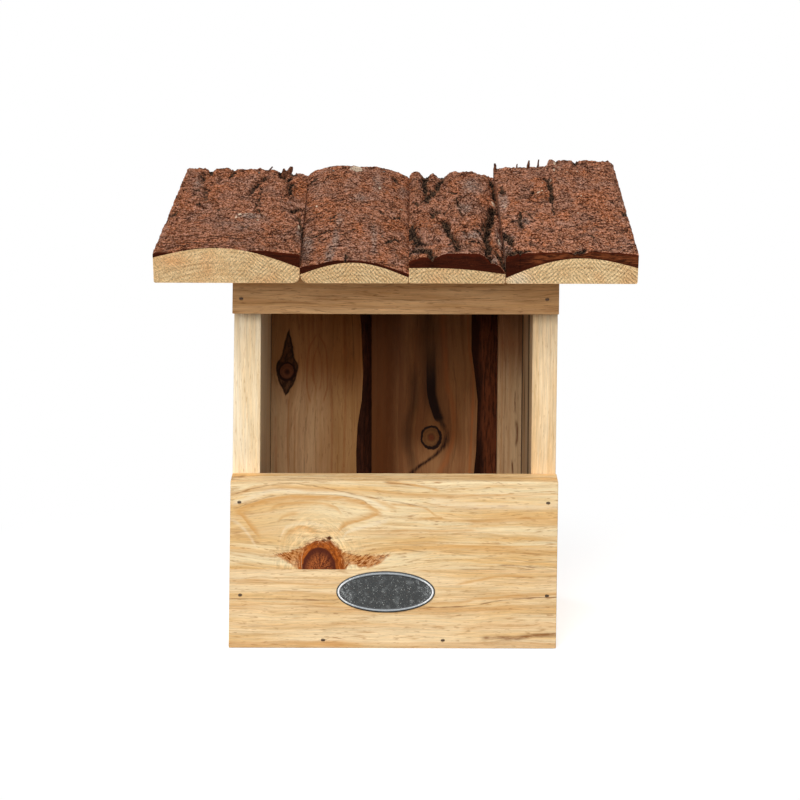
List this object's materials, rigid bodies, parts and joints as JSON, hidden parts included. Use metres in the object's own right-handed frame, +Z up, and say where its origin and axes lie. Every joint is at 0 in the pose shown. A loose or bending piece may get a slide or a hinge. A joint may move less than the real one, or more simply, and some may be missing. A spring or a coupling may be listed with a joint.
{
  "type": "open-fronted nest box",
  "caption": "Half-open pine nest box with a sloping roof of bark-clad slabs, a closed lower front, a rail above its mouth and waney back boards.",
  "frame": {"origin": "middle of the base, on the surface that the box stands on", "axes": "+Z up, +Y towards the wall behind the box, +X to the right seen from the front"},
  "size_m": [0.2842, 0.1908, 0.2959],
  "materials": {
    "pine": "sawn and planed, untreated",
    "bark": "rough natural bark",
    "badge": "dark speckled face with a bare rim",
    "brads": "dull galvanised"
  },
  "bodies": {
    "root": {"front_board_upper": "pine", "front_board_lower": "pine", "top_rail": "pine", "side_left": "pine", "side_right": "pine", "back_board_left": "pine", "back_board_middle": "pine", "back_board_right": "pine", "floor_board": "pine", "roof_slab_1": "pine", "roof_slab_2": "pine", "roof_slab_3": "pine", "roof_slab_4": "pine", "roof_bark_1": "bark", "roof_bark_2": "bark", "roof_bark_3": "bark", "roof_bark_4": "bark", "oval_badge": "badge", "front_brads": "brads", "rail_brads": "brads", "back_brads": "brads", "side_brads": "brads", "roof_brads": "brads"}
  },
  "joints": []
}
